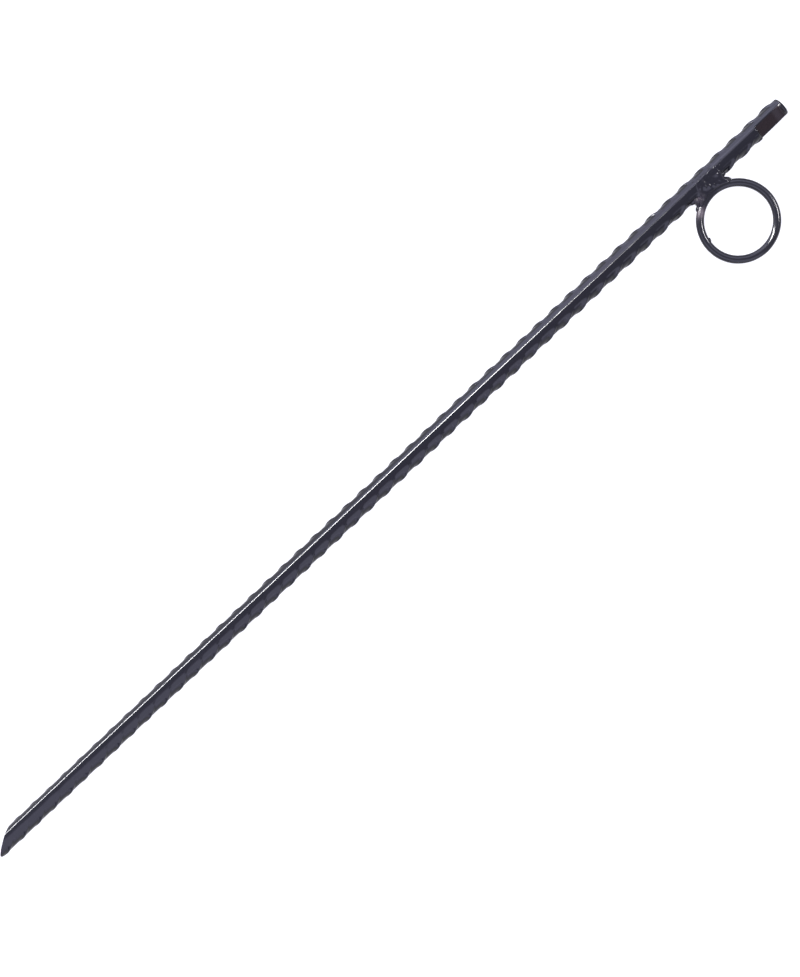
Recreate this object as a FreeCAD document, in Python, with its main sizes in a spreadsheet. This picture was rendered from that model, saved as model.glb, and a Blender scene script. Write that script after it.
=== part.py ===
import FreeCAD, Part
import math
import os
import Sketcher

# A heavy-duty ground stake for tent and awning guy lines: a length of hot-rolled ribbed
# reinforcing bar, cut obliquely at the driving tip and sheared square at the struck head,
# with a round-wire eye welded to its side near the head. It is all steel, and nothing moves.
#
# The stake is drawn upright. Z runs up the bar's axis from the tip, the eye stands out along +Y,
# and +X is the side that looks up once the stake lies on the ground. Angles round the bar are
# measured from +X towards +Y. lay_down() then turns every finished piece into the part's own
# frame: bar along X with its head at +X, eye towards -Y, resting on the plane Z = 0.

# Driving dimensions, in millimetres and degrees.
DIMENSIONS = (
    # Rolled bar: a round core, two longitudinal ribs (seams) and two rows of crescent ribs.
    ("bar_length", 600),
    ("core_radius", 4.9),
    ("seam_angle_at_tip", -37.8),
    ("seam_twist", 32),
    ("seam_base_width", 2.4),
    ("seam_top_width", 1.3),
    ("seam_top_radius", 5.5),
    ("seam_foot_radius", 4.5),
    ("rib_pitch", 12.2),
    ("rib_thickness", 1.5),
    ("rib_slant", 34),
    ("rib_lobe_radius", 4.5),
    ("rib_lobe_offset", 1.25),
    ("rib_blank_width", 13),
    ("rib_blank_length", 24),
    ("last_rib_from_head", 9.5),
    ("eye_side_stagger", 2.3),
    # Worked ends: sheared and rounded head, oblique tip, and the flat pressed by the shear.
    ("blank_radius", 7),
    ("head_face_radius", 4.75),
    ("head_taper_length", 4),
    ("tip_angle", 32),
    ("tip_azimuth", -100),
    ("tip_land", 0.8),
    ("press_azimuth", 41),
    ("press_radius", 4),
    ("press_length", 18),
    ("press_from_head", 3),
    ("tool_length", 60),
    ("tool_width", 20),
    # Eye: a hoop of round wire.
    ("eye_from_head", 60),
    ("eye_offset", 29.1),
    ("hoop_radius", 21),
    ("wire_radius", 2.25),
    ("hoop_gap_angle", 5),
    # Weld metal between the eye and the bar. Reaches are measured from the bar's axis.
    ("weld_zone_length", 60),
    ("weld_thickness", 4),
    ("weld_foot_reach", 3.6),
    ("root_half_length", 6),
    ("root_reach", 9),
    ("toe_on_bar", 11.2),
    ("toe_on_bar_reach", 5.4),
    ("toe_on_hoop", 13.8),
    ("toe_on_hoop_reach", 10.4),
    ("buried_toe", 12.6),
    ("buried_toe_reach", 12),
    ("hollow_radius", 3.1),
    ("hollow_height", 13.3),
    ("hollow_reach", 7.4),
    ("bead_half_length", 10.4),
    ("bead_half_width", 6.2),
    ("bead_height", 2.6),
    ("bead_reach", 6.3),
    ("bead_lift", 1.8),
    ("bead_tilt", -14),
    # How far the eye droops below level when bar and eye both rest on the ground.
    ("eye_droop", 3.77),
)

# The eye's centre, measured up the bar from the tip.
EYE_HEIGHT = "dims.bar_length - dims.eye_from_head"

# Spatter beside the weld. On the bar: angle round it, height above the eye's centre, radius.
BAR_DROPS = (
    (-3, 9.8, 0.65),
    (54, 12.4, 0.55),
    (64, -11.8, 0.6),
    (-118, 7.6, 0.6),
)
# On the eye: angle from the weld towards the head, angle round the wire from its outside, radius.
EYE_DROPS = (
    (38, 25, 0.75),
    (-40, 70, 0.55),
    (-80, 170, 0.95),
    (46, 250, 0.6),
)


def make_sheet(doc):
    """Write every driving dimension to the sheet under its own alias."""
    rows = list(DIMENSIONS)
    for number, (angle, height, radius) in enumerate(BAR_DROPS, start=1):
        rows.append((f"bar_drop_{number}_angle", angle))
        rows.append((f"bar_drop_{number}_height", height))
        rows.append((f"bar_drop_{number}_radius", radius))
    for number, (angle, round_wire, radius) in enumerate(EYE_DROPS, start=1):
        rows.append((f"eye_drop_{number}_angle", angle))
        rows.append((f"eye_drop_{number}_round_wire", round_wire))
        rows.append((f"eye_drop_{number}_radius", radius))
    sheet = doc.addObject("Spreadsheet::Sheet", "dims")
    for row, (alias, value) in enumerate(rows, start=1):
        sheet.set(f"A{row}", alias)
        sheet.set(f"B{row}", str(value))
        sheet.setAlias(f"B{row}", alias)
    doc.recompute()
    return sheet


def at(x="0", y="0", z="0", axis="0; 0; 1", angle="0"):
    """A placement written as an expression: turn about an axis, then move."""
    return f"placement(vector({x}; {y}; {z}); rotation(vector({axis}); {angle}))"


def add(doc, kind, name, expressions):
    """Add a primitive and bind its properties to the sheet."""
    item = doc.addObject(kind, name)
    for path, expression in expressions.items():
        item.setExpression(path, expression)
    return item


def add_box(doc, name, size, placement):
    """Add a box from three expressions for its lengths along X, Y and Z."""
    length, width, height = size
    sizes = {"Length": length, "Width": width, "Height": height, "Placement": placement}
    return add(doc, "Part::Box", name, sizes)


def combine(doc, kind, name, base, tool):
    """Cut, fuse or intersect two pieces."""
    result = doc.addObject(kind, name)
    result.Base = base
    result.Tool = tool
    return result


def fuse_all(doc, name, pieces):
    """Fuse a list of pieces in one step."""
    result = doc.addObject("Part::MultiFuse", name)
    result.Shapes = pieces
    return result


def dimension(sketch, kind, geometry, value, expression):
    """Add a driving dimension to a sketch and bind it to the sheet."""
    number = sketch.addConstraint(Sketcher.Constraint(kind, *geometry, value))
    sketch.setExpression(f"Constraints[{number}]", expression)


def fix_point(sketch, geometry, position, across, up):
    """Fix a point by its two distances from the sketch's origin, each a value and an expression."""
    origin = (-1, 1)
    for kind, (value, expression) in (("DistanceX", across), ("DistanceY", up)):
        dimension(sketch, kind, (*origin, geometry, position), value, expression)


def draw_polygon(sketch, corners):
    """Draw a closed outline of straight lines through corners bound to the sheet."""
    points = [FreeCAD.Vector(across[0], up[0], 0) for across, up in corners]
    for start, end in zip(points, points[1:] + points[:1]):
        sketch.addGeometry(Part.LineSegment(start, end))
    start_point, end_point = 1, 2
    for line, (across, up) in enumerate(corners):
        following = (line + 1) % len(corners)
        sketch.addConstraint(Sketcher.Constraint("Coincident", line, end_point, following, start_point))
        fix_point(sketch, line, start_point, across, up)


def seam_profile(doc, sheet):
    """Section of a longitudinal rib: a trapezoid standing on the core, pointing along +X."""
    sketch = doc.addObject("Sketcher::SketchObject", "seam_profile")
    foot = (sheet.seam_foot_radius, "dims.seam_foot_radius")
    crest = (sheet.seam_top_radius, "dims.seam_top_radius")
    draw_polygon(sketch, (
        (foot, (-sheet.seam_base_width / 2, "-dims.seam_base_width / 2")),
        (crest, (-sheet.seam_top_width / 2, "-dims.seam_top_width / 2")),
        (crest, (sheet.seam_top_width / 2, "dims.seam_top_width / 2")),
        (foot, (sheet.seam_base_width / 2, "dims.seam_base_width / 2")),
    ))
    return sketch


def longitudinal_ribs(doc, sheet):
    """Two opposite ribs along the whole bar, following its slight twist."""
    path = add(doc, "Part::Helix", "seam_path", {
        "Pitch": "dims.bar_length * 360 / dims.seam_twist",
        "Height": "dims.bar_length",
        "Radius": "dims.core_radius",
    })
    profile = seam_profile(doc, sheet)
    ribs = []
    for number, turn in enumerate((0, 180), start=1):
        rib = doc.addObject("Part::Sweep", f"seam_rib_{number}")
        rib.Sections = [profile]
        rib.Spine = (path, ["Edge1"])
        rib.Solid = True
        rib.Frenet = True
        rib.setExpression("Placement", at(angle=f"dims.seam_angle_at_tip + {turn}"))
        ribs.append(rib)
    return ribs


def crescent_rib(doc, name, side, height):
    """One transverse rib: a slanted slab kept only inside a lobe that stands off the axis.

    side is 1 on the eye's side of the bar and -1 on the other; height is an expression.
    """
    turn = f"dims.seam_angle_at_tip + dims.seam_twist * ({height}) / dims.bar_length"
    seat = at(z=height, angle=turn)
    slant = at(axis="0; 1; 0", angle="dims.rib_slant")
    half_length = "dims.rib_blank_length / 2"
    centred = at(x="-dims.rib_thickness / 2", y="-dims.rib_blank_width / 2", z=f"-{half_length}")
    size = ("dims.rib_thickness", "dims.rib_blank_width", "dims.rib_blank_length")
    slab = add_box(doc, f"{name}_slab", size, f"{seat} * {slant} * {centred}")
    lobe = add(doc, "Part::Cylinder", f"{name}_lobe", {
        "Radius": "dims.rib_lobe_radius",
        "Height": "dims.rib_blank_length",
        "Placement": f"{seat} * {at(y=f'{side} * dims.rib_lobe_offset', z=f'-{half_length}')}",
    })
    return combine(doc, "Part::Common", name, slab, lobe)


def transverse_ribs(doc, sheet):
    """Two staggered rows of crescent ribs, counted from the head down to the tip."""
    overrun = sheet.rib_lobe_radius / math.tan(math.radians(sheet.rib_slant))
    count = math.ceil((sheet.bar_length - sheet.last_rib_from_head + overrun) / sheet.rib_pitch)
    ribs = []
    for side, row, stagger in ((1, "eye_side", "dims.eye_side_stagger"), (-1, "far_side", "0")):
        for number in range(-1, count):
            height = f"dims.bar_length - dims.last_rib_from_head + {stagger} - {number} * dims.rib_pitch"
            ribs.append(crescent_rib(doc, f"{row}_rib_{number + 2}", side, height))
    return ribs


def rolled_bar(doc, sheet):
    """The rolled bar at full length, before its ends are worked."""
    core = add(doc, "Part::Cylinder", "core", {
        "Radius": "dims.core_radius",
        "Height": "dims.bar_length",
    })
    ribbed_core = fuse_all(doc, "ribbed_core", [core] + transverse_ribs(doc, sheet))
    return fuse_all(doc, "rolled_bar", [ribbed_core] + longitudinal_ribs(doc, sheet))


def worked_blank(doc):
    """The space that the bar keeps once its head and tip are cut and its side is pressed."""
    shank = add(doc, "Part::Cylinder", "blank_shank", {
        "Radius": "dims.blank_radius",
        "Height": "dims.bar_length - dims.head_taper_length",
    })
    head = add(doc, "Part::Cone", "blank_head", {
        "Radius1": "dims.rib_lobe_radius + dims.rib_lobe_offset",
        "Radius2": "dims.head_face_radius",
        "Height": "dims.head_taper_length",
        "Placement": at(z="dims.bar_length - dims.head_taper_length"),
    })
    tip_plane = at(x="dims.tip_land - dims.core_radius", axis="0; 1; 0", angle="90 + dims.tip_angle")
    tip_cut = add_box(
        doc,
        "tip_cut",
        ("dims.tool_length", "dims.tool_width", "dims.tool_width"),
        f"{at(angle='dims.tip_azimuth')} * {tip_plane}"
        f" * {at(x='-dims.tool_length / 2', y='-dims.tool_width / 2')}",
    )
    press_foot = "dims.bar_length - dims.press_from_head - dims.press_length"
    press_cut = add_box(
        doc,
        "press_cut",
        ("dims.blank_radius", "dims.tool_width", "dims.press_length"),
        f"{at(angle='dims.press_azimuth')}"
        f" * {at(x='dims.press_radius', y='-dims.tool_width / 2', z=press_foot)}",
    )
    whole = combine(doc, "Part::Fuse", "blank_whole", shank, head)
    pointed = combine(doc, "Part::Cut", "blank_pointed", whole, tip_cut)
    return combine(doc, "Part::Cut", "worked_blank", pointed, press_cut)


def stake_bar(doc, rolled):
    """The bar: the rolled section kept inside the worked blank."""
    return combine(doc, "Part::Common", "worked_bar", rolled, worked_blank(doc))


def eye_hoop(doc):
    """The eye: round wire bent to a hoop whose two ends nearly meet at the bar."""
    stood_up = at(
        y="dims.eye_offset",
        z=EYE_HEIGHT,
        axis="-1; 1; -1",
        angle="120",
    )
    return add(doc, "Part::Torus", "eye_hoop", {
        "Radius1": "dims.hoop_radius",
        "Radius2": "dims.wire_radius",
        "Angle3": "360 - dims.hoop_gap_angle",
        "Placement": f"{stood_up} * {at(angle='dims.hoop_gap_angle / 2')}",
    })


def parent_metal(doc, rolled, hoop):
    """The stretch of bar and eye that the weld metal lies against."""
    zone_foot = f"{EYE_HEIGHT} - dims.weld_zone_length / 2"
    zone = add_box(
        doc,
        "weld_zone",
        ("dims.tool_width", "dims.tool_width", "dims.weld_zone_length"),
        at(x="-dims.tool_width / 2", y="-dims.tool_width / 2", z=zone_foot),
    )
    stretch = combine(doc, "Part::Common", "bar_at_weld", rolled, zone)
    return combine(doc, "Part::Fuse", "parent_metal", stretch, hoop)


def root_weld(doc, metal):
    """Weld metal in the gap between the bar and the eye, joining the hoop's two ends."""
    block = add_box(
        doc,
        "root_block",
        ("dims.weld_thickness", "dims.root_reach - dims.weld_foot_reach", "2 * dims.root_half_length"),
        at(
            x="-dims.weld_thickness / 2",
            y="dims.weld_foot_reach",
            z=f"{EYE_HEIGHT} - dims.root_half_length",
        ),
    )
    return combine(doc, "Part::Cut", "root_metal", block, metal)


def sketch_in_eye_plane(body, name):
    """A sketch in the eye's plane: across is the reach from the bar, up runs along the bar."""
    sketch = body.newObject("Sketcher::SketchObject", f"{body.Name}_{name}")
    planes = [plane for plane in body.Origin.OriginFeatures if plane.Role == "YZ_Plane"]
    sketch.AttachmentSupport = (planes[0], [""])
    sketch.MapMode = "FlatFace"
    return sketch


def toe_weld(doc, sheet, name, turn, metal):
    """Weld metal in one corner between eye and bar, with a hollow face.

    turn is 0 for the corner towards the head and 180 for the corner towards the tip.
    """
    body = doc.addObject("PartDesign::Body", f"{name}_body")
    outline = sketch_in_eye_plane(body, "outline")
    foot = (sheet.weld_foot_reach, "dims.weld_foot_reach")
    root = (sheet.root_half_length, "dims.root_half_length")
    toe = (sheet.toe_on_bar, "dims.toe_on_bar")
    draw_polygon(outline, (
        (foot, root),
        (foot, toe),
        ((sheet.toe_on_bar_reach, "dims.toe_on_bar_reach"), toe),
        ((sheet.toe_on_hoop_reach, "dims.toe_on_hoop_reach"), (sheet.toe_on_hoop, "dims.toe_on_hoop")),
        ((sheet.buried_toe_reach, "dims.buried_toe_reach"), (sheet.buried_toe, "dims.buried_toe")),
        ((sheet.root_reach, "dims.root_reach"), root),
    ))
    pad = body.newObject("PartDesign::Pad", f"{name}_pad")
    pad.Profile = outline
    pad.SideType = "Symmetric"
    pad.setExpression("Length", "dims.weld_thickness")
    doc.recompute()

    circle = sketch_in_eye_plane(body, "hollow")
    centre = FreeCAD.Vector(sheet.hollow_reach, sheet.hollow_height, 0)
    upward = FreeCAD.Vector(0, 0, 1)
    circle.addGeometry(Part.Circle(centre, upward, sheet.hollow_radius))
    centre_point = 3
    across = (sheet.hollow_reach, "dims.hollow_reach")
    fix_point(circle, 0, centre_point, across, (sheet.hollow_height, "dims.hollow_height"))
    dimension(circle, "Radius", (0,), sheet.hollow_radius, "dims.hollow_radius")
    hollow = body.newObject("PartDesign::Pocket", f"{name}_hollow")
    hollow.Profile = circle
    hollow.SideType = "Symmetric"
    hollow.setExpression("Length", "2 * dims.weld_thickness")
    doc.recompute()
    if hollow.Shape.Volume >= pad.Shape.Volume:
        raise RuntimeError(f"{name}: the hollow cuts nothing")

    seat = at(z=EYE_HEIGHT, axis="0; 1; 0", angle=str(turn))
    body.setExpression("Placement", seat)
    return combine(doc, "Part::Cut", f"{name}_metal", body, metal)


def weld_bead(doc, name, side, metal):
    """The bead laid over the joint on one face: half an ellipsoid draped from bar to wire.

    side is 1 for the face that looks up and -1 for the face underneath.
    """
    drop = add(doc, "Part::Ellipsoid", f"{name}_drop", {
        "Radius1": "dims.bead_half_length",
        "Radius2": "dims.bead_height",
        "Radius3": "dims.bead_half_width",
        "Placement": at(
            x=f"{side} * dims.bead_lift",
            y="dims.bead_reach",
            z=EYE_HEIGHT,
            angle=f"{side} * dims.bead_tilt",
        ),
    })
    above = "dims.weld_thickness / 2" if side > 0 else "-dims.weld_thickness / 2 - dims.tool_width"
    room = add_box(
        doc,
        f"{name}_room",
        ("dims.tool_width", "dims.tool_width", "dims.weld_zone_length"),
        at(x=above, z=f"{EYE_HEIGHT} - dims.weld_zone_length / 2"),
    )
    half = combine(doc, "Part::Common", f"{name}_half", drop, room)
    return combine(doc, "Part::Cut", f"{name}_metal", half, metal)


def weld_spatter(doc, metal):
    """Small balls of metal frozen onto the bar and the eye beside the weld."""
    balls = []
    for number in range(1, len(BAR_DROPS) + 1):
        drop = f"dims.bar_drop_{number}"
        round_bar = at(z=f"{EYE_HEIGHT} + {drop}_height", angle=f"{drop}_angle")
        balls.append(add(doc, "Part::Sphere", f"bar_drop_{number}", {
            "Radius": f"{drop}_radius",
            "Placement": f"{round_bar} * {at(x='dims.core_radius')}",
        }))
    for number in range(1, len(EYE_DROPS) + 1):
        drop = f"dims.eye_drop_{number}"
        centre = at(y="dims.eye_offset", z=EYE_HEIGHT)
        round_eye = at(axis="-1; 0; 0", angle=f"{drop}_angle")
        on_wire = at(y="-dims.hoop_radius", angle=f"-{drop}_round_wire")
        balls.append(add(doc, "Part::Sphere", f"eye_drop_{number}", {
            "Radius": f"{drop}_radius",
            "Placement": f"{centre} * {round_eye} * {on_wire} * {at(y='-dims.wire_radius')}",
        }))
    return combine(doc, "Part::Cut", "spatter_metal", fuse_all(doc, "spatter_balls", balls), metal)


def lay_down(doc, sheet, pieces):
    """Make one clean, named sub-part of each piece and turn them all into the part's frame."""
    laid = FreeCAD.Rotation(FreeCAD.Vector(1, 0, 1), 180)
    drooped = FreeCAD.Rotation(FreeCAD.Vector(0, 0, 1), sheet.eye_droop)
    turned = FreeCAD.Placement(FreeCAD.Vector(), laid * drooped)
    extent = FreeCAD.BoundBox()
    subparts = []
    for label, piece in pieces.items():
        subpart = doc.addObject("Part::Refine", label)
        subpart.Source = piece
        subpart.Label = label
        subpart.Placement = turned
        subparts.append(subpart)
    doc.recompute()
    for subpart in subparts:
        extent.add(subpart.Shape.optimalBoundingBox(False))
    down = FreeCAD.Vector(-extent.Center.x, -extent.Center.y, -extent.ZMin)
    for subpart in subparts:
        subpart.Placement = FreeCAD.Placement(down, turned.Rotation)
    doc.recompute()
    return subparts


def check(doc, subparts):
    """Stop if any object failed to compute or any sub-part isn't a sound solid."""
    for item in doc.Objects:
        if "Invalid" in item.State or "Error" in item.State:
            raise RuntimeError(f"{item.Name} failed: {item.State}")
    for subpart in subparts:
        shape = subpart.Shape
        if shape.isNull() or not shape.isValid() or not shape.Solids:
            raise RuntimeError(f"{subpart.Label} is not a valid solid")


def export(subparts):
    """Write each sub-part to its own STEP file."""
    os.makedirs("parts", exist_ok=True)
    for subpart in subparts:
        subpart.Shape.exportStep(f"parts/{subpart.Label}.step")


def build():
    """Draw the stake, check it and write its sub-parts."""
    doc = FreeCAD.newDocument("ground_stake")
    sheet = make_sheet(doc)
    rolled = rolled_bar(doc, sheet)
    hoop = eye_hoop(doc)
    metal = parent_metal(doc, rolled, hoop)
    pieces = {
        "stake_bar": stake_bar(doc, rolled),
        "eye_ring": hoop,
        "root_weld": root_weld(doc, metal),
        "head_side_toe_weld": toe_weld(doc, sheet, "head_side_toe", 0, metal),
        "tip_side_toe_weld": toe_weld(doc, sheet, "tip_side_toe", 180, metal),
        "front_weld_bead": weld_bead(doc, "front_bead", 1, metal),
        "rear_weld_bead": weld_bead(doc, "rear_bead", -1, metal),
        "weld_spatter": weld_spatter(doc, metal),
    }
    subparts = lay_down(doc, sheet, pieces)
    check(doc, subparts)
    export(subparts)
    for subpart in subparts:
        shape = subpart.Shape
        print(f"{subpart.Label}: {len(shape.Solids)} solid(s), {shape.Volume:.1f} mm3")


build()
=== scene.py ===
import math

import bmesh
import bpy
import numpy as np
from mathutils import Matrix, Vector


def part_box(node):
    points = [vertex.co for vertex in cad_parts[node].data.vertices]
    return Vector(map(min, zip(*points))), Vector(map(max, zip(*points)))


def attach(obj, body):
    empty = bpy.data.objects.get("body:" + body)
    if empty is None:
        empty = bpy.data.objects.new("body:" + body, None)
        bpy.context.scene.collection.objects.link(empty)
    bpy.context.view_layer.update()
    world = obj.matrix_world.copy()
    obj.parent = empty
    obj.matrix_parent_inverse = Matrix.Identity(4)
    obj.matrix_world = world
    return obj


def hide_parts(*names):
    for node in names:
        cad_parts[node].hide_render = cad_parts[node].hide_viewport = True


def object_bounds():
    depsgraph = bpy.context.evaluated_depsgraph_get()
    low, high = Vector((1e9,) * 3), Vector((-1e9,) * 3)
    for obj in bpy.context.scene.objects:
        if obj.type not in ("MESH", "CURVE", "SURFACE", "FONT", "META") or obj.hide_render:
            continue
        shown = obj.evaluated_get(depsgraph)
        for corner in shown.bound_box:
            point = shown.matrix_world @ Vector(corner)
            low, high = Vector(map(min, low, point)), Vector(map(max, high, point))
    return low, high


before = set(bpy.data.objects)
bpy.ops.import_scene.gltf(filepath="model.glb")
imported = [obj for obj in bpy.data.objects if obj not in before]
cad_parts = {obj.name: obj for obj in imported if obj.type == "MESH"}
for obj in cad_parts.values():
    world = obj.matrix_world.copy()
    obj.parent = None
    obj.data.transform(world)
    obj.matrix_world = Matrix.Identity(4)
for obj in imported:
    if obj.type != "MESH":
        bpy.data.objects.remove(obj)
cad_low, cad_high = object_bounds()

MM = 0.001

# ---------------------------------------------------------------- places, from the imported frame
BAR_LOW, BAR_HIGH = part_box("stake_bar")
# The visual bar lies this much further from the eye than the CAD bar, in millimetres.
AXIS_SHIFT = 0.25
TIP_X = BAR_LOW.x
AXIS_Y = (BAR_LOW.y + BAR_HIGH.y) / 2 + AXIS_SHIFT * MM
AXIS_Z = (BAR_LOW.z + BAR_HIGH.z) / 2
BAR_LENGTH = (BAR_HIGH.x - BAR_LOW.x) / MM
EYE_LOW, EYE_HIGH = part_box("eye_ring")
EYE_CENTRE = (EYE_LOW + EYE_HIGH) / 2

# ---------------------------------------------------------------- the bar, in millimetres
# s runs along the bar from the tip. Angles round the bar start at straight up and grow
# towards the eye, which lies on the -Y side. The core's radius is 0.3 mm more than the CAD bar's.
CORE = 5.2

# The seams are the two ribs along the bar. Spread sets how wide a seam's foot is, and crest how
# far its top is rounded off, both in degrees round the bar.
SEAM_ANGLE_AT_TIP = -30.5
SEAM_TWIST = 28.0
SEAM_SPREAD = 29.0
SEAM_CREST = 9.0
SEAM_WEAR_AT_TIP = 4.0

# The crescent ribs are counted from the head. The slant is in millimetres per degree.
RIB_PITCH = 12.2
FIRST_RIB = 7.2
ROW_STAGGER = 2.3
RIB_SLANT = 0.1275
LOBE_RADIUS = 4.5
LOBE_OFFSET = 1.55
ROW_MIDDLE = 90    # degrees from a seam to the middle of a row of ribs

# Near the head the bar is rougher than along the shank: this is where the roughness sets in.
ROUGH_FROM, ROUGH_TO = 400, 470

TIP_CUT_ANGLE = 32.0
TIP_CUT_AZIMUTH = -96.0
TIP_CUT_REACH = 4.5
RIM_ROUNDING = 0.35
HEAD_ROUNDING = 0.8
HEAD_DOME = 0.3

# The flat's two ends are measured from the head, and its depth from the bar's axis.
FLAT_AZIMUTH = 38.0
FLAT_FROM = 20.3
FLAT_TO = 2.4
FLAT_DEPTH = 3.2

# ---------------------------------------------------------------- the eye, in millimetres
# The pale patch on the wire near the weld, by its angle from the weld: thinner paint with a painted sheen on
# it, brightest on the wire's upper side.
HOOP = 21.0
WIRE = 2.25
EYE_DROOP = 3.77
EYE_SHEEN_PATCH = -35.0
SHEEN_PATCH_WIDTH = 8.0


def smooth(low, high, x):
    """0 below low, 1 above high, and a smooth step between."""
    t = np.clip((x - low) / (high - low), 0, 1)
    return t * t * (3 - 2 * t)


def lattice(ix, iy, iz, seed):
    """A repeatable random number from 0 to 1 for each whole-number point."""
    n = ix * 374761393 + iy * 668265263 + iz * 2147483647 + seed * 1274126177
    n = (n ^ (n >> 13)) * 1274126177 & 0xFFFFFFFF
    return ((n ^ (n >> 16)) & 0xFFFF) / 65535.0


def lumps(p, size, seed):
    """Smooth noise from -1 to 1 at points p, with lumps of about that size."""
    q = np.asarray(p, float) / size
    base = np.floor(q)
    f = q - base
    f = f * f * (3 - 2 * f)
    i = base.astype(np.int64)
    total = 0
    for dx in (0, 1):
        for dy in (0, 1):
            for dz in (0, 1):
                weight = (
                    (f[..., 0] if dx else 1 - f[..., 0])
                    * (f[..., 1] if dy else 1 - f[..., 1])
                    * (f[..., 2] if dz else 1 - f[..., 2])
                )
                total = total + weight * lattice(i[..., 0] + dx, i[..., 1] + dy, i[..., 2] + dz, seed)
    return total * 2 - 1


def mesh_object(name, points, faces, smooth_shading=True):
    """A mesh from points in metres."""
    mesh = bpy.data.meshes.new(name)
    mesh.from_pydata([tuple(p) for p in points], [], faces)
    mesh.validate()
    mesh.update()
    for polygon in mesh.polygons:
        polygon.use_smooth = smooth_shading
    piece = bpy.data.objects.new(name, mesh)
    bpy.context.scene.collection.objects.link(piece)
    return piece


def stain_and_sheen(piece, share):
    """Stores how much of a material's stain colour each point carries: brown on the pressed flat, and a pale
    painted sheen near the weld.
    """
    layer = piece.data.attributes.new("stain_and_sheen", "FLOAT", "POINT")
    layer.data.foreach_set("value", np.asarray(share, np.float32))


# ---------------------------------------------------------------- the ribbed bar
def seam_angle(s):
    return SEAM_ANGLE_AT_TIP + SEAM_TWIST * s / BAR_LENGTH


def rib_crest(across):
    """Height of a rib's crest above the core, by the angle from the middle of its row."""
    a = np.radians(across)
    lobe = LOBE_RADIUS**2 - (LOBE_OFFSET * np.sin(a)) ** 2
    return np.clip(LOBE_OFFSET * np.cos(a) + np.sqrt(lobe) - CORE, 0, None)


def rib_section(q):
    """Share of the crest's height at q millimetres past a rib's middle, towards the head."""
    rise = smooth(-2.2, -0.5, q)
    fall = 1 - smooth(0.3, 2.2, q)
    return rise * fall


def crescent_ribs(s, delta):
    """Height of the crescent ribs above the core, and of the burrs on them near the head."""
    side = np.where(delta >= 0, 1, -1)
    across = np.abs(delta) - ROW_MIDDLE
    start = FIRST_RIB + np.where(side > 0, 0, ROW_STAGGER)
    along = s + RIB_SLANT * across + start - BAR_LENGTH
    number = np.round(along / RIB_PITCH - 0.04)
    q = along - number * RIB_PITCH
    whole = number.astype(np.int64)
    row = side.astype(np.int64)
    zero = np.zeros_like(whole)
    vary = 0.88 + 0.2 * lattice(whole, row, zero, 3)
    q = q + 0.5 * (lattice(whole, row, zero, 5) - 0.5)
    worn_tip = 0.66 + 0.34 * smooth(60, 260, s)
    rib = rib_crest(across) * rib_section(q) * vary * worn_tip * (number <= 0)
    burr = np.exp(-(((across + 47) / 8) ** 2) - ((q - 0.9) / 0.9) ** 2)
    return rib, 0.2 * smooth(ROUGH_FROM, ROUGH_TO, s) * burr * (delta < 0)


def seam_rise(s, delta, place):
    """Height of the seams above the core: a wedge tangent to it, with a rounded crest."""
    loose = 0.12 + 0.88 * smooth(ROUGH_FROM, ROUGH_TO, s)
    on_line = place * (1, 0, 0)
    wander = 0.06 * lumps(on_line, 18.0, 11) + 0.09 * loose * lumps(on_line, 4.5, 12)
    from_seam = np.where(np.abs(delta) < ROW_MIDDLE, delta, 180 - np.abs(delta))
    off = np.abs(np.radians(from_seam) * CORE + wander)
    worn = 1 + 0.05 * loose * lumps(on_line, 4.0, 13)
    crest = SEAM_CREST + SEAM_WEAR_AT_TIP * (1 - smooth(20, 260, s))
    flank = np.clip(SEAM_SPREAD - np.hypot(np.degrees(off / CORE), crest), 0, None)
    return CORE * (1 / np.cos(np.radians(flank)) - 1) * worn


def from_flat(phi):
    """Degrees round the bar from the middle of the flat."""
    return np.abs((phi - FLAT_AZIMUTH + 180) % 360 - 180)


def press_flat(s, phi, place, radius, rib, seam):
    """The radius with the flat pressed into the head end, and the metal upset beside it."""
    from_head = BAR_LENGTH - s
    turn = from_flat(phi)
    depth = FLAT_DEPTH + 0.7 * (1 - smooth(FLAT_TO + 0.6, 8.5, from_head))
    depth = depth + 0.015 * lumps(place, 4.5, 31)
    pressed = smooth(FLAT_TO - 0.5, FLAT_TO + 0.5, from_head)
    pressed = pressed * (1 - smooth(FLAT_FROM - 1.0, FLAT_FROM, from_head))
    chord = depth / np.cos(np.radians(np.minimum(turn, 80)))
    no_rib = radius - rib * (1 - smooth(70, 95, turn))
    no_seam = no_rib - seam * (1 - smooth(45, 70, turn))
    cut = np.where(turn < 80, np.minimum(no_seam, chord), no_rib)
    edge = np.degrees(np.arccos(np.clip(depth / CORE, -1, 1)))
    lip = 0.02 + 0.30 * np.clip((from_head - 3) / 16, 0, 1) * (phi > FLAT_AZIMUTH)
    upset = lip * np.exp(-(((turn - edge - 4) / 5.5) ** 2))
    return radius + pressed * (cut - radius + upset)


def bar_radius(s, delta):
    """Distance of the surface from the axis at s along the bar, delta degrees round from the seam."""
    phi = delta + seam_angle(s)
    place = np.stack([s, CORE * np.sin(np.radians(phi)), CORE * np.cos(np.radians(phi))], -1)
    rib, burr = crescent_ribs(s, delta)
    seam = seam_rise(s, delta, place)
    grain = 0.024 + 0.026 * smooth(380, 460, s)
    skin = grain * lumps(place, 6.0, 21) + 0.0015 * lumps(place, 2.4, 22) + burr
    return press_flat(s, phi, place, CORE + rib + seam + skin, rib, seam)


def flat_share(s, phi):
    """1 on the flat pressed into the head end, 0 elsewhere."""
    from_head = BAR_LENGTH - s
    along = smooth(FLAT_TO - 1.2, FLAT_TO + 1.0, from_head)
    along = along * (1 - smooth(FLAT_FROM - 0.9, FLAT_FROM - 0.4, from_head))
    return along * (1 - smooth(46, 52, from_flat(phi)))


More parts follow.
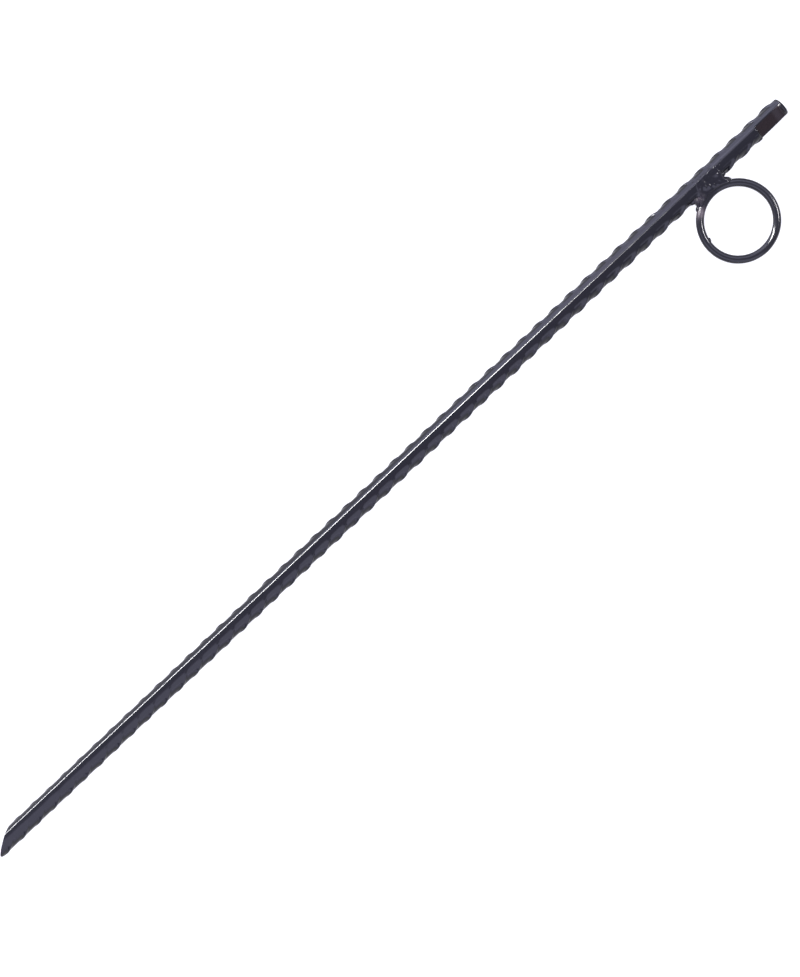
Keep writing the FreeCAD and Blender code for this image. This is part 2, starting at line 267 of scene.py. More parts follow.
def tip_end(phi, radius):
    """Where the slanting cut leaves the bar, at that angle and distance from the axis."""
    reach = radius * np.cos(np.radians(phi - TIP_CUT_AZIMUTH)) + TIP_CUT_REACH
    return np.maximum(0, reach / math.tan(math.radians(TIP_CUT_ANGLE)))


def to_world(s, radius, phi):
    """A point of the bar in metres, from its place along, out from and round the axis."""
    a = np.radians(phi)
    x = TIP_X + s * MM
    y = AXIS_Y - radius * np.sin(a) * MM
    z = AXIS_Z + radius * np.cos(a) * MM
    return np.stack([x + 0 * y, y, z], -1)


def bar_columns():
    """Angles from the seam: close together over both seams, wider between."""
    fine = [0, 2.2, 4.4, 6.4, 8.4, 10.4, 12.4, 14.6, 17.2, 20.5]
    middle = list(np.arange(25, 156, 5.0))
    half = fine + middle + [180 - a for a in reversed(fine)]
    return np.array([-a for a in reversed(half[1:-1])] + half)


def bar_rows():
    """Row places along the bar for a column that runs through the middles of the rib rows."""
    offsets = [-2.7, -2.3, -1.9, -1.5, -1.1, -0.7, -0.2, 0.3, 0.8, 1.2, 1.6, 2.0, 2.5, 3.4, 5.2, 7.4]
    first = BAR_LENGTH - FIRST_RIB
    rows = []
    number = 0
    while first - number * RIB_PITCH > -20:
        rows += [first - number * RIB_PITCH + o for o in offsets]
        number += 1
    rows = np.array(sorted(rows))
    body = rows[(rows > 46) & (rows < BAR_LENGTH - 34)]
    near_tip = np.linspace(0, 1, 84)[1:-1] * body[0]
    near_head = np.arange(body[-1] + 0.5, BAR_LENGTH - HEAD_ROUNDING - 0.05, 0.42)
    return near_tip, body, near_head


def column_shift(columns):
    """How far each column's rows slide along the bar, so that rows follow the slanting ribs."""
    upper = np.abs(columns) < ROW_MIDDLE
    wrapped = np.where(columns >= 0, 180 - columns, -180 - columns)
    nearest = np.where(upper, columns, wrapped)
    step = ROW_STAGGER * (0.5 - smooth(-25, 25, nearest))
    return -RIB_SLANT * (np.abs(columns) - ROW_MIDDLE) - ROW_STAGGER / 2 + 1.15 - step


def bar_stations(columns, rim_s):
    """Places along the bar, one row of them for each ring of points, from the cut to the head."""
    near_tip, body, near_head = bar_rows()
    shift = column_shift(columns)

    def place(u):
        return u + shift * smooth(0, 36, BAR_LENGTH - u)

    leads = (0.0, 0.06, 0.15, 0.28, 0.45)
    rows = [rim_s + lead for lead in leads]
    after_rim = rim_s + leads[-1]
    rows += [after_rim + (place(body[0]) - rim_s - leads[-1]) * (u / body[0]) for u in near_tip]
    rows += [place(u) for u in np.concatenate([body, near_head])]
    for degrees in (0, 18, 36, 54, 72, 84):
        end = BAR_LENGTH - HEAD_DOME - HEAD_ROUNDING + HEAD_ROUNDING * math.sin(math.radians(degrees))
        rows.append(np.full_like(columns, end))
    return np.array(rows)


def round_rims(s, rim_s, radius):
    """The radius with its two rims rounded: at the slanting cut and at the head."""
    out = np.clip(s - rim_s, 0, RIM_ROUNDING)
    radius = radius - (RIM_ROUNDING - np.sqrt(np.clip(RIM_ROUNDING**2 - (RIM_ROUNDING - out) ** 2, 0, None)))
    over = np.clip(s - (BAR_LENGTH - HEAD_DOME - HEAD_ROUNDING), 0, HEAD_ROUNDING)
    return radius - (HEAD_ROUNDING - np.sqrt(np.clip(HEAD_ROUNDING**2 - over**2, 0, None)))


def disc(radius, phi):
    """Places on a disc across the bar, for its noise."""
    return np.stack([radius * np.sin(np.radians(phi)), radius * np.cos(np.radians(phi)), 0 * radius], -1)


def close_end(points, faces, edge, shares, ring, middle, flip):
    """Fills an end with rings that shrink towards its middle. ring(share) gives a ring's points."""
    def add_face(corners):
        faces.append((corners[0],) + corners[:0:-1] if flip else corners)

    count = len(edge)
    for share in shares:
        base = len(points)
        points += ring(share)
        for c in range(count):
            n = (c + 1) % count
            add_face((edge[c], edge[n], base + n, base + c))
        edge = list(range(base, base + count))
    base = len(points)
    points.append(middle)
    for c in range(count):
        add_face((edge[c], edge[(c + 1) % count], base))


def make_bar():
    columns = bar_columns()
    rim_s = np.zeros_like(columns)
    for _ in range(4):
        rim_radius = bar_radius(rim_s + RIM_ROUNDING, columns) - RIM_ROUNDING
        rim_s = tip_end(columns + seam_angle(rim_s), rim_radius)
    s = bar_stations(columns, rim_s)
    delta = np.broadcast_to(columns, s.shape)
    radius = round_rims(s, rim_s, bar_radius(s, delta))
    phi = delta + seam_angle(s)
    points = list(to_world(s, radius, phi).reshape(-1, 3))
    rows, count = s.shape
    faces = []
    for r in range(rows - 1):
        for c in range(count):
            n = (c + 1) % count
            faces.append((r * count + c, (r + 1) * count + c, (r + 1) * count + n, r * count + n))

    def cut_ring(share):
        """A ring on the slanting cut, which is a little uneven."""
        out = radius[0] * share
        ring_s = tip_end(phi[0], out) + 0.03 * lumps(disc(out, phi[0]), 1.6, 41) - 0.05 * (1 - share)
        return list(to_world(np.maximum(ring_s, 0.0), out, phi[0]))

    def head_ring(share):
        """A ring on the head's face, slightly domed and hammered."""
        out = radius[-1] * share
        hammered = 0.05 * lumps(disc(out, phi[-1]), 1.3, 51) * (1 - share**6)
        dome = HEAD_DOME * (1 - share**2) - 0.05 + hammered
        return list(to_world(np.minimum(BAR_LENGTH - HEAD_DOME + dome, BAR_LENGTH), out, phi[-1]))

    centre = np.array(0.0)
    cut_middle = to_world(np.array(TIP_CUT_REACH / math.tan(math.radians(TIP_CUT_ANGLE))), centre, centre)
    head_middle = to_world(np.array(BAR_LENGTH), centre, centre)
    last = (rows - 1) * count
    close_end(points, faces, list(range(count)),
              (0.93, 0.84, 0.74, 0.63, 0.52, 0.41, 0.30, 0.19, 0.09), cut_ring, cut_middle, False)
    close_end(points, faces, list(range(last, last + count)),
              (0.94, 0.86, 0.76, 0.65, 0.54, 0.43, 0.32, 0.21, 0.10), head_ring, head_middle, True)
    points = np.array(points)
    points[:, 2] = np.maximum(points[:, 2], cad_low.z)
    piece = mesh_object("ribbed_bar", points, faces)
    share = np.zeros(len(points))
    share[:rows * count] = flat_share(s, phi).ravel()
    stain_and_sheen(piece, share)
    return piece


# ---------------------------------------------------------------- the eye
DROOP = math.radians(EYE_DROOP)
TO_BAR = Vector((0, math.cos(DROOP), math.sin(DROOP)))
EYE_UP = Vector((0, -math.sin(DROOP), math.cos(DROOP)))


def on_eye(angle, around, out=0.0):
    """A point on the eye: angle from the weld towards the head, around the wire from its outside."""
    a = math.radians(angle)
    b = math.radians(around)
    outward = Vector((math.sin(a), 0, 0)) + TO_BAR * math.cos(a)
    reach = (WIRE + out) * MM
    return EYE_CENTRE + outward * (HOOP * MM + reach * math.cos(b)) + EYE_UP * (reach * math.sin(b))


def make_eye():
    turns, around = 300, 48
    a = np.radians(np.arange(turns) * 360 / turns)[:, None]
    b = np.radians(np.arange(around) * 360 / around)[None, :]
    outward = np.stack([np.sin(a), np.cos(a) * TO_BAR.y, np.cos(a) * TO_BAR.z], -1)
    up = np.array(EYE_UP)
    ring = np.concatenate([np.sin(a), np.cos(a), 0 * a], -1)[:, None, :] * HOOP
    cross = np.stack([np.sin(b), np.cos(b), 0 * b], -1) * WIRE
    skin = 0.035 * lumps(ring + cross, 5.0, 61) + 0.015 * lumps(ring + cross, 1.6, 62)
    wobble = 0.10 * np.sin(2 * a + 0.7) + 0.06 * np.sin(3 * a + 2.0)
    run = WIRE + skin
    radial = HOOP + wobble + run * np.cos(b)
    points = (np.array(EYE_CENTRE) + outward.reshape(turns, 1, 3) * radial[..., None] * MM
              + up * (run * np.sin(b))[..., None] * MM).reshape(-1, 3)
    faces = []
    for i in range(turns):
        for k in range(around):
            n, m = (i + 1) % turns, (k + 1) % around
            faces.append((i * around + k, n * around + k, n * around + m, i * around + m))
    points[:, 2] = np.maximum(points[:, 2], cad_low.z)
    piece = mesh_object("eye_hoop", points, faces)
    # The pale patch near the weld: thinner paint with a painted sheen, paler on the wire's upper side.
    degrees = np.arange(turns) * 360.0 / turns
    from_weld = (degrees - EYE_SHEEN_PATCH + 180) % 360 - 180
    share = np.exp(-((from_weld / SHEEN_PATCH_WIDTH) ** 2))[:, None] * (0.6 + 0.4 * np.sin(b))
    stain_and_sheen(piece, share.ravel())
    return piece


# ---------------------------------------------------------------- the welds
EYE_OFFSET = (AXIS_Y - EYE_CENTRE.y) / MM
EYE_TOP = (EYE_HIGH.z - AXIS_Z) / MM

# The welds take the seam under them as a plain ridge of this height, this far towards the eye.
RIDGE_HEIGHT = 0.36
RIDGE_PLACE = -0.9


def bar_point(dx, w, height=0.0):
    """A point beside the bar: dx from the eye's centre, w from the axis towards the eye, height over it."""
    return Vector((EYE_CENTRE.x + dx * MM, AXIS_Y - w * MM, AXIS_Z + height * MM))


def bar_top(w):
    """Height of the bar's surface near the weld above its axis, w to the side."""
    ridge = max(0.0, 1 - abs(w - RIDGE_PLACE) / 2.2)
    return math.sqrt((CORE + RIDGE_HEIGHT * ridge) ** 2 - w**2)


def blob(points, faces, centre, radii, tilt=0.0, turn=0.0, detail=3):
    """Adds an ellipsoid. tilt turns it about X, turn about Z, in degrees."""
    ball = bmesh.new()
    bmesh.ops.create_icosphere(ball, subdivisions=detail, radius=1.0)
    place = (Matrix.Translation(centre) @ Matrix.Rotation(math.radians(turn), 4, "Z")
             @ Matrix.Rotation(math.radians(tilt), 4, "X")
             @ Matrix.Diagonal((radii[0] * MM, radii[1] * MM, radii[2] * MM, 1)))
    base = len(points)
    points += [place @ v.co for v in ball.verts]
    faces += [tuple(base + v.index for v in f.verts) for f in ball.faces]
    ball.free()


def vertex_rows(mesh, kind):
    """A mesh's points ("co") or normals ("normal"), one row for each point."""
    values = np.zeros(len(mesh.vertices) * 3)
    mesh.vertices.foreach_get(kind, values)
    return values.reshape(-1, 3)


def weld_piece(name, blobs, voxel, relax, rough, seed, sheen_patch=None):
    """Blobs melted into one lump: remeshed, relaxed and given a frozen, uneven skin.

    The last argument is the middle and the width of a pale patch of painted sheen, strongest on upward faces:
    (dx, w, width).
    """
    points, faces = [], []
    for one in blobs:
        blob(points, faces, *one)
    piece = mesh_object(name, points, faces)
    melt = piece.modifiers.new("melt", "REMESH")
    melt.mode = "VOXEL"
    melt.voxel_size = voxel * MM
    flow = piece.modifiers.new("flow", "SMOOTH")
    flow.factor = 0.5
    flow.iterations = relax
    graph = bpy.context.evaluated_depsgraph_get()
    mesh = bpy.data.meshes.new_from_object(piece.evaluated_get(graph))
    piece.modifiers.clear()
    piece.data = mesh
    piece.data.name = name
    co = vertex_rows(mesh, "co")
    normal = vertex_rows(mesh, "normal")
    dx = (co[:, 0] - EYE_CENTRE.x) / MM
    w = (AXIS_Y - co[:, 1]) / MM
    push = rough * (0.8 * lumps(co / MM, 3.0, seed) + 0.2 * lumps(co / MM, 1.7, seed + 1))
    co = co + normal * (push * MM)[:, None]
    co[:, 2] = np.maximum(co[:, 2], cad_low.z + 0.02 * MM)
    mesh.vertices.foreach_set("co", co.ravel())
    mesh.update()
    for polygon in mesh.polygons:
        polygon.use_smooth = True
    share = np.zeros(len(co))
    if sheen_patch:
        middle_dx, middle_w, width = sheen_patch
        share = np.exp(-((dx - middle_dx) ** 2 + (w - middle_w) ** 2) / width**2)
        # Painted sheen: stronger on faces that turn up.
        share = share * np.clip(normal[:, 2] + 0.4, 0, 1)
    stain_and_sheen(piece, share)
    return piece


# Where the upper bead starts and ends beside the eye's centre, how thick it lies, and where it
# leaves the bar for the eye. Its marks are (dx, w, radius, push): a push below zero is a hollow.
WELD_FROM = -11.6
WELD_TO = 12.9
WELD_THICKNESS = 0.28
LEAVES_BAR = 2.4
WELD_MARKS = ((1.9, 1.5, 2.0, -0.42), (-3.2, 5.4, 2.2, -0.38), (5.2, 3.4, 1.5, -0.25), (8.6, 1.2, 1.6, -0.15),
              (-3.4, 2.8, 0.9, 0.3), (-1.2, 4.0, 0.9, 0.34), (1.0, 5.1, 0.9, 0.36), (3.2, 6.3, 0.9, 0.34),
              (5.4, 7.4, 1.1, 0.22), (8.0, 3.2, 0.8, 0.35), (-4.4, -2.4, 0.8, 0.15), (2.0, -1.8, 0.8, 0.2),
              (10.2, -0.2, 0.9, 0.2), (7.3, 6.3, 0.8, 0.2))


def sheet_faces(steps, lanes):
    """Faces of a closed slab: an upper grid, a lower one with the same corners, and the rim between."""
    count = steps * lanes
    faces = []
    for i in range(steps - 1):
        for k in range(lanes - 1):
            a = i * lanes + k
            b, c, d = a + lanes, a + lanes + 1, a + 1
            faces += [(a, d, c, b), (a + count, b + count, c + count, d + count)]
    rim = [i * lanes for i in range(steps)] + [(steps - 1) * lanes + k for k in range(1, lanes)]
    rim += [i * lanes + lanes - 1 for i in range(steps - 2, -1, -1)] + list(range(lanes - 2, 0, -1))
    faces += [(a, b, b + count, a + count) for a, b in zip(rim, rim[1:] + rim[:1])]
    return faces


def weld_drape(w, ring_middle):
    """Height of the bead: it hugs the bar, then slopes down to the eye and rounds over its wire."""
    ridge = RIDGE_HEIGHT * np.clip(1 - np.abs(w - RIDGE_PLACE) / 2.4, 0, 1)
    hug_bar = np.sqrt(np.clip(CORE**2 - w**2, 0.5, None)) + ridge
    top = math.sqrt(CORE**2 - LEAVES_BAR**2)
    down = np.clip((w - LEAVES_BAR) / (ring_middle - LEAVES_BAR), 0, 1)
    slope = top + (EYE_TOP + 0.15 - top) * down
    past = np.clip(w - ring_middle, 0, None)
    return np.where(w < LEAVES_BAR, hug_bar, slope) + WELD_THICKNESS - 0.35 * past**2


def front_weld():
    """The bead on the upper side: a puddle draped from over the seam down onto the eye."""
    steps, lanes = 170, 84
    along = np.linspace(WELD_FROM, WELD_TO, steps)[:, None]
    v = np.linspace(0, 1, lanes)[None, :]

    # the toe is the bead's edge on the bar, and inside is its edge within the eye
    ripple = 0.36 * np.sin(along * 1.5 + 0.6) + 0.13 * np.sin(along * 2.9 + 2.0)
    toe = -2.0 + ripple + 6.4 * (1 - smooth(-7.0, -3.6, along)) + 6.2 * smooth(9.4, WELD_TO, along)
    ring_middle = EYE_OFFSET - np.sqrt(HOOP**2 - along**2)
    inside = ring_middle + 0.9
    w = toe + (inside - toe) * v
    waist = np.exp(-(((w - 6.4) / 1.7) ** 2))
    dx = along + waist * (2.4 * (1 - smooth(WELD_FROM, -7.0, along)) - 2.2 * smooth(8.5, WELD_TO, along))

    # the bead thins out towards its edges and its two ends
    lean = np.gradient(toe[:, 0], (WELD_TO - WELD_FROM) / (steps - 1))[:, None]
    from_edge = np.minimum((w - toe) / np.sqrt(1 + lean**2), 1.4 * (inside - w))
    from_end = np.minimum(along - WELD_FROM, WELD_TO - along)
    off_bar = smooth(2.4, 5.0, w)
    h = weld_drape(w, ring_middle)
    h = h - (0.62 + 1.3 * off_bar) * (1 - smooth(-0.4, 1.1 + 1.2 * off_bar, from_edge))
    h = h - 2.2 * (1 - smooth(0.0, 3.0, from_end))

    place = np.stack([dx, w, h], -1)
    h = h + 0.11 * lumps(place, 3.1, 71) + 0.03 * lumps(place, 1.8, 72)
    for place_x, place_w, radius, push in WELD_MARKS:
        h = h + push * np.exp(-((dx - place_x) ** 2 + (w - place_w) ** 2) / radius**2)
    top = np.stack([EYE_CENTRE.x + dx * MM, AXIS_Y - w * MM, AXIS_Z + h * MM], -1).reshape(-1, 3)
    low = top.copy()
    low[:, 2] = AXIS_Z + (np.minimum(h - 0.4, 0.9) * MM).ravel()
    piece = mesh_object("front_weld", np.concatenate([top, low]), sheet_faces(steps, lanes))
    # A pale painted sheen on the bead's neck on the tip side.
    sheen_patch = np.exp(-((dx + 8.2) ** 2 + (w - 5.4) ** 2) / 2.8**2).ravel()
    stain_and_sheen(piece, np.concatenate([sheen_patch, sheen_patch]))
    return piece


def rear_weld():
    """The bead on the lower side, laid in overlapping ripples."""
    parts = []
    for k in range(8):
        dx = -8.8 + 2.5 * k
        centre = bar_point(dx, 5.1 + 0.4 * math.sin(k * 2.1), -1.8)
        parts.append((centre, (2.1, 4.9, 1.95), 22, 6 * math.sin(k * 1.7)))
    for dx, w in ((-5.5, 1.0), (-1.5, 0.4), (2.5, 0.8), (6.4, 1.2)):
        parts.append((bar_point(dx, w, -4.0), (1.7, 1.9, 0.9), 12, 0))
    return weld_piece("rear_weld", parts, 0.2, 4, 0.28, 81)


def root_metal():
    """The weld metal between the bar and the eye."""
    parts = []
    for k in range(8):
        parts.append((bar_point(-7.7 + 2.2 * k, 5.6, -0.3), (1.7, 2.4, 1.6), 0, 0))
    return weld_piece("root_metal", parts, 0.25, 2, 0.2, 91)


def toe_weld(name, side, seed):
    """The fillet where the bead runs out between the bar and the eye."""
    parts = [
        (bar_point(side * 8.6, 6.2, 0.1), (2.2, 3.2, 2.3), -10, side * -25),
        (bar_point(side * 10.3, 4.7, 0.3), (2.8, 1.6, 2.2), -10, side * -10),
        (bar_point(side * 9.3, 8.6, -0.5), (1.6, 2.2, 2.0), 0, side * -30),
        (bar_point(side * 11.9, 4.5, 0.0), (2.1, 0.9, 1.6), -8, 0),
        (bar_point(side * 11.4, 9.6, -0.7), (1.9, 1.4, 1.7), 0, side * -38),
    ]
    # The same pale painted sheen on the tip-side neck, brightest on upward faces.
    return weld_piece(name, parts, 0.18, 18, 0.05, seed, sheen_patch=(-7.7, 5.6, 3.0))


# Balls of spatter on the bar and the bead: (dx, w, radius). On the bead they stand higher.
SPATTER = ((1.7, -4.0, 0.42), (0.7, -2.0, 0.36), (4.1, -1.6, 0.34), (10.2, -0.2, 0.38), (12.4, 0.5, 0.36),
           (-4.2, -2.9, 0.42), (8.0, 3.2, 0.5), (14.6, -1.4, 0.34))
ON_BEAD = 0.45


def spatter():
    """Small balls of metal frozen beside the weld."""
    parts = []
    for dx, w, r in SPATTER:
        h = bar_top(w) + 0.02
        if dx < 9 and w > 1.5:
            h += ON_BEAD
        parts.append((bar_point(dx, w, h), (r, r * 0.9, r * 0.8), 0, 0))
    for angle, around, r in ((25, 25, 0.7), (46, 250, 0.6)):
        parts.append((on_eye(angle, around), (r, r, r * 0.85), 0, 0))
    parts.append((on_eye(-80.5, 172, -0.1), (0.85, 1.3, 1.0), 0, -10))
    parts.append((on_eye(-78.5, 176, 0.15), (0.7, 0.8, 0.7), 0, -10))
    return weld_piece("spatter", parts, 0.1, 2, 0.03, 101)


# ---------------------------------------------------------------- materials
WHITE = (1.0, 1.0, 1.0)
LAMP_WHITE = (1.0, 0.98, 1.0)
COOL = (0.74, 0.74, 1.0)
FLOOR_GLOW = (0.92, 0.92, 1.0)
BROWN = (0.012, 0.0065, 0.0065)
# Pale pink-grey for the eye's patch by the weld: thinner paint with a painted sheen.
PINK_GREY_SHEEN = (0.085, 0.070, 0.080)
# Pale mauve for the weld's neck: a painted sheen.
MAUVE_SHEEN = (0.036, 0.030, 0.038)


def node(tree, kind, **values):
    """A new shader node, with its settings and its inputs' values."""
    made = tree.nodes.new(kind)
    for name, value in values.items():
        if hasattr(made, name):
            setattr(made, name, value)
        else:
            made.inputs[name].default_value = value
    return made


def lacquer(name, dark, light, stain_and_sheen_colour, rough_low, rough_high, stain_and_sheen_rough, grain, depth):
    """Glossy black paint over hot-rolled steel: uneven colour and gloss, with orange peel and grit.

    The stain colour goes where the mesh's stain attribute says: brown on the pressed flat, and a pale painted
    sheen by the weld on the eye and the bead.
    """
    material = bpy.data.materials.new(name)
    material.use_nodes = True
    tree = material.node_tree
    shader = tree.nodes["Principled BSDF"]
    where = node(tree, "ShaderNodeTexCoord")
    broad = node(tree, "ShaderNodeTexNoise", Scale=grain * 0.3, Detail=4.0, Roughness=0.6)
    fine = node(tree, "ShaderNodeTexNoise", Scale=grain * 2.0, Detail=3.0, Roughness=0.65)
    grit = node(tree, "ShaderNodeTexVoronoi", Scale=grain * 3.2)
    for texture in (broad, fine, grit):
        tree.links.new(where.outputs["Object"], texture.inputs["Vector"])
    tint = node(tree, "ShaderNodeMix", data_type="RGBA")
    tint.inputs["A"].default_value = (*dark, 1)
    tint.inputs["B"].default_value = (*light, 1)
    tree.links.new(broad.outputs["Fac"], tint.inputs["Factor"])
    mark = node(tree, "ShaderNodeAttribute", attribute_name="stain_and_sheen")
    patchy = node(tree, "ShaderNodeMath", operation="MULTIPLY_ADD", use_clamp=True)
    tree.links.new(fine.outputs["Fac"], patchy.inputs[0])
    patchy.inputs[1].default_value = 0.2
    patchy.inputs[2].default_value = 0.75
    amount = node(tree, "ShaderNodeMath", operation="MULTIPLY", use_clamp=True)
    tree.links.new(mark.outputs["Fac"], amount.inputs[0])
    tree.links.new(patchy.outputs[0], amount.inputs[1])
    # Mixes in the stain colour: brown on the pressed flat, a pale painted sheen by the weld.
    stain_and_sheen_mix = node(tree, "ShaderNodeMix", data_type="RGBA")
    stain_and_sheen_mix.inputs["B"].default_value = (*stain_and_sheen_colour, 1)
    tree.links.new(tint.outputs["Result"], stain_and_sheen_mix.inputs["A"])
    tree.links.new(amount.outputs[0], stain_and_sheen_mix.inputs["Factor"])
    tree.links.new(stain_and_sheen_mix.outputs["Result"], shader.inputs["Base Color"])
    gloss = node(tree, "ShaderNodeMapRange")
    gloss.inputs["From Min"].default_value = 0.3
    gloss.inputs["From Max"].default_value = 0.7
    gloss.inputs["To Min"].default_value = rough_low
    gloss.inputs["To Max"].default_value = rough_high
    tree.links.new(fine.outputs["Fac"], gloss.inputs["Value"])
    dull = node(tree, "ShaderNodeMix", data_type="FLOAT")
    dull.inputs["B"].default_value = stain_and_sheen_rough
    tree.links.new(amount.outputs[0], dull.inputs["Factor"])
    tree.links.new(gloss.outputs["Result"], dull.inputs["A"])
    tree.links.new(dull.outputs["Result"], shader.inputs["Roughness"])
    sheen = node(tree, "ShaderNodeMix", data_type="FLOAT")
    sheen.inputs["A"].default_value = 0.5
    sheen.inputs["B"].default_value = 0.25
    tree.links.new(amount.outputs[0], sheen.inputs["Factor"])
    tree.links.new(sheen.outputs["Result"], shader.inputs["Specular IOR Level"])
    peel = node(tree, "ShaderNodeBump", Strength=depth, Distance=0.00012)
    tree.links.new(fine.outputs["Fac"], peel.inputs["Height"])
    pits = node(tree, "ShaderNodeBump", Strength=depth * 0.5, Distance=0.00006)
    tree.links.new(grit.outputs["Distance"], pits.inputs["Height"])
    tree.links.new(peel.outputs["Normal"], pits.inputs["Normal"])
    tree.links.new(pits.outputs["Normal"], shader.inputs["Normal"])
    shader.inputs["IOR"].default_value = 1.5
    return material


def floor_material(name, dark, light, glow):
    """A matt grey floor that gives off light of its own, which lifts it to pale or white."""
    material = bpy.data.materials.new(name)
    material.use_nodes = True
    tree = material.node_tree
    shader = tree.nodes["Principled BSDF"]
    where = node(tree, "ShaderNodeTexCoord")
    cloud = node(tree, "ShaderNodeTexNoise", Scale=6.0, Detail=2.0)
    tree.links.new(where.outputs["Object"], cloud.inputs["Vector"])
    tint = node(tree, "ShaderNodeMix", data_type="RGBA")
    tint.inputs["A"].default_value = (dark, dark, dark, 1)
    tint.inputs["B"].default_value = (light, light, light, 1)
    tree.links.new(cloud.outputs["Fac"], tint.inputs["Factor"])
    tree.links.new(tint.outputs["Result"], shader.inputs["Base Color"])
    shader.inputs["Roughness"].default_value = 0.9
    shader.inputs["Specular IOR Level"].default_value = 0.0
    shader.inputs["Emission Color"].default_value = (*FLOOR_GLOW, 1)
    shader.inputs["Emission Strength"].default_value = glow
    return material


bar = make_bar()
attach(bar, "root")
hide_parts("stake_bar")

eye = make_eye()
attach(eye, "root")
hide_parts("eye_ring")

welds = {
    "front_weld_bead": front_weld(),
    "rear_weld_bead": rear_weld(),
    "root_weld": root_metal(),
    "head_side_toe_weld": toe_weld("head_side_toe", 1, 111),
    "tip_side_toe_weld": toe_weld("tip_side_toe", -1, 121),
    "weld_spatter": spatter(),
}
for cad_node, piece in welds.items():
    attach(piece, "root")
    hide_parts(cad_node)

bar_paint = lacquer(
    "bar_lacquer", dark=(0.0030, 0.0030, 0.0048), light=(0.0055, 0.0055, 0.0080), stain_and_sheen_colour=BROWN,
    rough_low=0.11, rough_high=0.16, stain_and_sheen_rough=0.30, grain=420.0, depth=0.02)
# The eye's stain colour is a pale painted sheen over thinner paint by the weld.
eye_paint = lacquer(
    "eye_lacquer", dark=(0.0045, 0.0045, 0.0065), light=(0.0090, 0.0090, 0.0115), stain_and_sheen_colour=PINK_GREY_SHEEN,
    rough_low=0.12, rough_high=0.18, stain_and_sheen_rough=0.30, grain=420.0, depth=0.018)
# The weld's stain colour is a pale painted sheen on its neck.
weld_paint = lacquer(
    "weld_lacquer", dark=(0.0030, 0.0030, 0.0052), light=(0.0060, 0.0058, 0.0088), stain_and_sheen_colour=MAUVE_SHEEN,
    rough_low=0.13, rough_high=0.19, stain_and_sheen_rough=0.35, grain=500.0, depth=0.03)
bar.data.materials.append(bar_paint)
eye.data.materials.append(eye_paint)
for piece in welds.values():
    piece.data.materials.clear()
    piece.data.materials.append(weld_paint)


# ---------------------------------------------------------------- floor, lights and camera
def flat_floor(name, height, material):
    """A square of floor. The stake lies on height 0."""
    half = 6.0
    corners = [(x * half, y * half, height) for x, y in ((-1, -1), (1, -1), (1, 1), (-1, 1))]
    piece = mesh_object(name, corners, [(0, 1, 2, 3)])
    piece.data.materials.append(material)
    return piece


# The floor that shows glows like a light table. The board under it is what the paint reflects.
floor = flat_floor("floor", 0.0, floor_material("pale_floor", 0.12, 0.14, 1.06))
floor.visible_glossy = False
board = flat_floor("board", -0.0002, floor_material("pale_board", 0.25, 0.28, 0.57))
board.visible_camera = False
board.visible_diffuse = False

# The studio's lights hang in rows. Along a row is STUDIO_U, across the rows is STUDIO_V.
STUDIO_TURN = math.radians(-60.6)
STUDIO_U = Vector((math.cos(STUDIO_TURN), math.sin(STUDIO_TURN), 0))
STUDIO_V = Vector((-math.sin(STUDIO_TURN), math.cos(STUDIO_TURN), 0))
LIGHT_HEIGHT = 1.5


def hanging_light(name, centre, turn, long, wide, radiance, colour):
    """A flat light that looks straight down."""
    light = bpy.data.lights.new(name, "AREA")
    light.shape = "RECTANGLE"
    light.size = long
    light.size_y = wide
    light.energy = radiance * math.pi * long * wide
    light.color = colour
    lamp = bpy.data.objects.new(name, light)
    lamp.matrix_world = Matrix.Translation(centre) @ Matrix.Rotation(turn, 4, "Z")
    lamp.visible_camera = False
    bpy.context.scene.collection.objects.link(lamp)
    return lamp


def row_light(name, u_from, u_to, v_from, v_to, radiance, colour):
    """A light in the rows, from its stretch along and across them."""
    centre = STUDIO_U * ((u_from + u_to) / 2) + STUDIO_V * ((v_from + v_to) / 2)
    centre.z = LIGHT_HEIGHT
    return hanging_light(name, centre, STUDIO_TURN, u_to - u_from, v_to - v_from, radiance, colour)


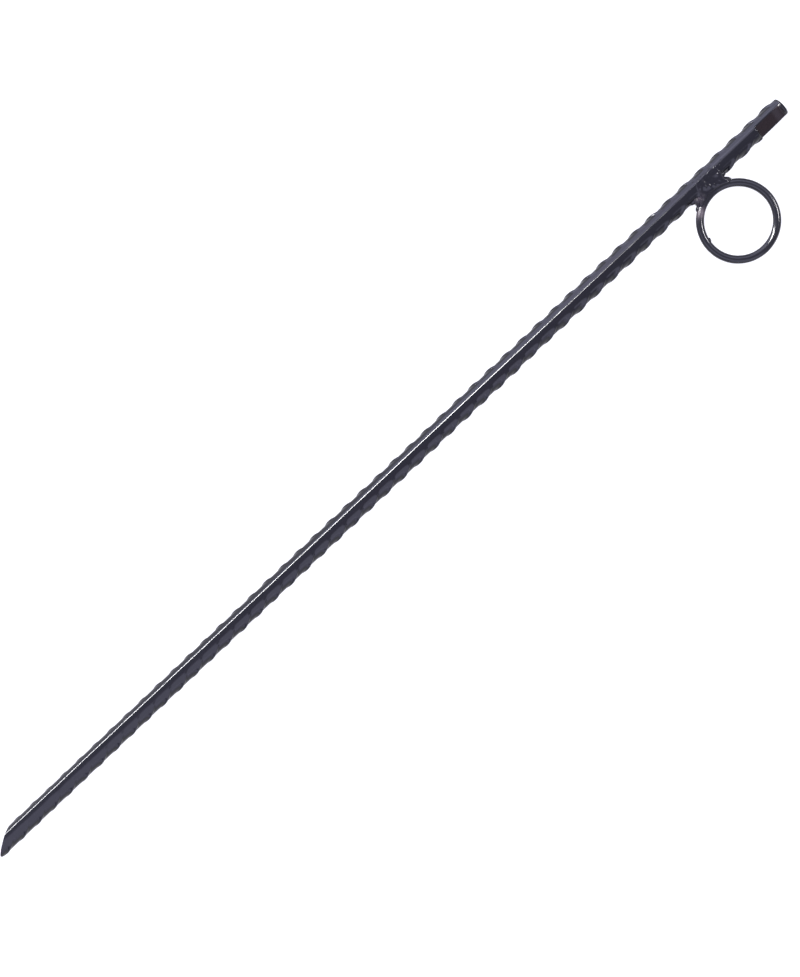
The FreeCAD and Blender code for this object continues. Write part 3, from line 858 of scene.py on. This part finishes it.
def side_lamp(name, bearing, tilt, height, long, wide, radiance):
    """A lamp seen from the eye at that bearing and angle from straight up; long runs across the bearing."""
    away = Vector((math.cos(math.radians(bearing)), math.sin(math.radians(bearing)), 0))
    centre = Vector((EYE_CENTRE.x, EYE_CENTRE.y, 0)) + away * (height * math.tan(math.radians(tilt)))
    centre.z = height
    return hanging_light(name, centre, math.radians(bearing + 90), long, wide, radiance, LAMP_WHITE)


def wall_light(name, place, long, high, turn, radiance):
    """An upright light standing on the floor and facing the stake."""
    centre = Vector((place[0], place[1], high / 2 + 0.01))
    lamp = hanging_light(name, centre, 0.0, long, high, radiance, COOL)
    lamp.matrix_world = (Matrix.Translation(centre) @ Matrix.Rotation(math.radians(turn), 4, "Z")
                         @ Matrix.Rotation(math.radians(90), 4, "X"))
    return lamp


row_light("strip_light", -8.0, -0.64, 0.50, 0.72, 90.0, WHITE)
row_light("strip_end", -0.62, -0.30, 0.52, 0.70, 22.0, WHITE)
row_light("low_fill", -2.0, 3.0, -2.7, -0.5, 1.25, COOL)
row_light("far_fill", -6.0, 2.0, 0.80, 2.4, 1.5, COOL)
side_lamp("right_lamp", -24.0, 45.0, 6.0, 2.6, 0.9, 80.0)
wall_light("far_wall", (-1.0, 4.0), 8.0, 2.6, 180.0, 1.8)
wall_light("near_wall", (-1.8, -4.0), 4.4, 2.0, 0.0, 1.0)

world = bpy.data.worlds.new("studio")
world.use_nodes = True
sky = world.node_tree.nodes["Background"]
sky.inputs["Color"].default_value = (*COOL, 1)
sky.inputs["Strength"].default_value = 0.6
bpy.context.scene.world = world

scene = bpy.context.scene
scene.view_settings.view_transform = "Standard"
scene.view_settings.look = "None"

# The camera looks down on the stake, which lies from lower left to upper right in its view.
camera_data = bpy.data.cameras.new("camera")
camera_data.sensor_fit = "HORIZONTAL"
camera_data.sensor_width = 36.0
camera_data.lens = 85.0
camera_data.dof.use_dof = False
camera = bpy.data.objects.new("camera", camera_data)
roll, nod, lean = (math.radians(a) for a in (-43.398, 1.658, 5.738))
camera.matrix_world = (Matrix.Translation((0.0600, -0.0785, 1.0446)) @ Matrix.Rotation(roll, 4, "Z")
                       @ Matrix.Rotation(nod, 4, "X") @ Matrix.Rotation(lean, 4, "Y"))
scene.collection.objects.link(camera)
scene.camera = camera
